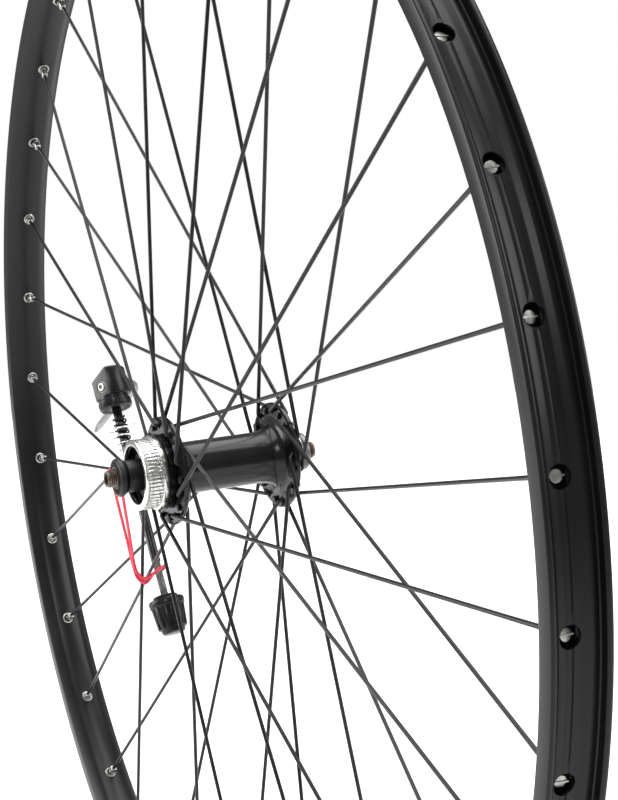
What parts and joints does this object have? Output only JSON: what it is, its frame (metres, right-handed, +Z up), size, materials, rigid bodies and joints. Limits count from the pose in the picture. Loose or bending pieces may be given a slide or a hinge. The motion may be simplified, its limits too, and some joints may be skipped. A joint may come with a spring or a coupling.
{
  "type": "bicycle front wheel with quick release",
  "caption": "Spoked front wheel with a splined disc-brake hub on a hollow axle and its quick release skewer strapped inside by a red rubber band.",
  "frame": {"origin": "centre of the hub, on the axle line midway between the two locknut faces", "axes": "+Y along the axle away from the disc-brake side, +Z up, +X across the wheel"},
  "size_m": [0.6316, 0.1092, 0.6316],
  "materials": {
    "rim": "satin black anodised",
    "spoke": "black coated wire with bright nipples",
    "hub_shell": "gloss black anodised",
    "spline": "turned bright",
    "axle_steel": "oiled steel",
    "ball_steel": "polished",
    "cup_steel": "ground",
    "cone_black": "black oxide",
    "seal_rubber": "matte",
    "locknut_black": "black oxide",
    "locknut_grey": "dull grey",
    "rod_black": "black steel",
    "housing_black": "gloss black",
    "lever_bright": "satin",
    "nut_black": "satin black",
    "spring_dark": "black wire",
    "spring_bright": "bright wire",
    "band_red": "glossy red"
  },
  "bodies": {
    "fixed_axle": {"axle": "axle_steel", "bearing_cone_left": "cone_black", "bearing_cone_right": "cone_black", "dust_boot_right": "seal_rubber", "locknut_left": "locknut_black", "locknut_right": "locknut_grey"},
    "wheel": {"rim": "rim", "spoke_01": "spoke", "spoke_02": "spoke", "spoke_03": "spoke", "spoke_04": "spoke", "spoke_05": "spoke", "spoke_06": "spoke", "spoke_07": "spoke", "spoke_08": "spoke", "spoke_09": "spoke", "spoke_10": "spoke", "spoke_11": "spoke", "spoke_12": "spoke", "spoke_13": "spoke", "spoke_14": "spoke", "spoke_15": "spoke", "spoke_16": "spoke", "spoke_17": "spoke", "spoke_18": "spoke", "spoke_19": "spoke", "spoke_20": "spoke", "spoke_21": "spoke", "spoke_22": "spoke", "spoke_23": "spoke", "spoke_24": "spoke", "spoke_25": "spoke", "spoke_26": "spoke", "spoke_27": "spoke", "spoke_28": "spoke", "spoke_29": "spoke", "spoke_30": "spoke", "spoke_31": "spoke", "spoke_32": "spoke", "spoke_33": "spoke", "spoke_34": "spoke", "spoke_35": "spoke", "spoke_36": "spoke", "hub_shell": "hub_shell", "rotor_spline_ring": "spline", "bearing_cup_left": "cup_steel", "bearing_cup_right": "cup_steel", "dust_seal_left": "seal_rubber", "dust_seal_right": "seal_rubber", "skewer_rod": "rod_black", "skewer_housing": "housing_black", "spring_black": "spring_dark", "spring_chrome": "spring_bright", "rubber_band": "band_red"},
    "left_balls": {"ball_ring_left": "ball_steel"},
    "right_balls": {"ball_ring_right": "ball_steel"},
    "lever": {"skewer_lever": "lever_bright", "skewer_cam_pin": "ball_steel"},
    "nut_carriage": {"nut_face_ring": "nut_black"},
    "nut": {"skewer_nut": "nut_black"}
  },
  "joints": [
    {"name": "wheel_spin", "type": "hinge", "parent": "fixed_axle", "child": "wheel", "pos_m": [0, 0, 0], "axis": [0, 1, 0], "continuous": true},
    {"name": "left_balls_roll", "type": "hinge", "parent": "fixed_axle", "child": "left_balls", "pos_m": [0, -0.031, 0], "axis": [0, 1, 0], "continuous": true},
    {"name": "right_balls_roll", "type": "hinge", "parent": "fixed_axle", "child": "right_balls", "pos_m": [0, 0.0372, 0], "axis": [0, 1, 0], "continuous": true},
    {"name": "lever_swing", "type": "hinge", "parent": "wheel", "child": "lever", "pos_m": [-0.11544, -0.01024, 0.02312], "axis": [-0.4134, 0.8876, -0.2033], "range_deg": [0, 180]},
    {"name": "nut_travel", "type": "slide", "parent": "wheel", "child": "nut_carriage", "axis": [0.4816, 0.0236, -0.8761], "range_m": [-0.004, 0.004]},
    {"name": "nut_turn", "type": "hinge", "parent": "nut_carriage", "child": "nut", "pos_m": [-0.05745, -0.0074, -0.08236], "axis": [0.4816, 0.0236, -0.8761], "range_deg": [-1810, 1810]}
  ],
  "couplings": [
    {"joint": "left_balls_roll", "follows": "wheel_spin", "ratio": 0.6},
    {"joint": "right_balls_roll", "follows": "wheel_spin", "ratio": 0.6},
    {"joint": "nut_turn", "follows": "nut_travel", "rad_per_m": 7854}
  ]
}
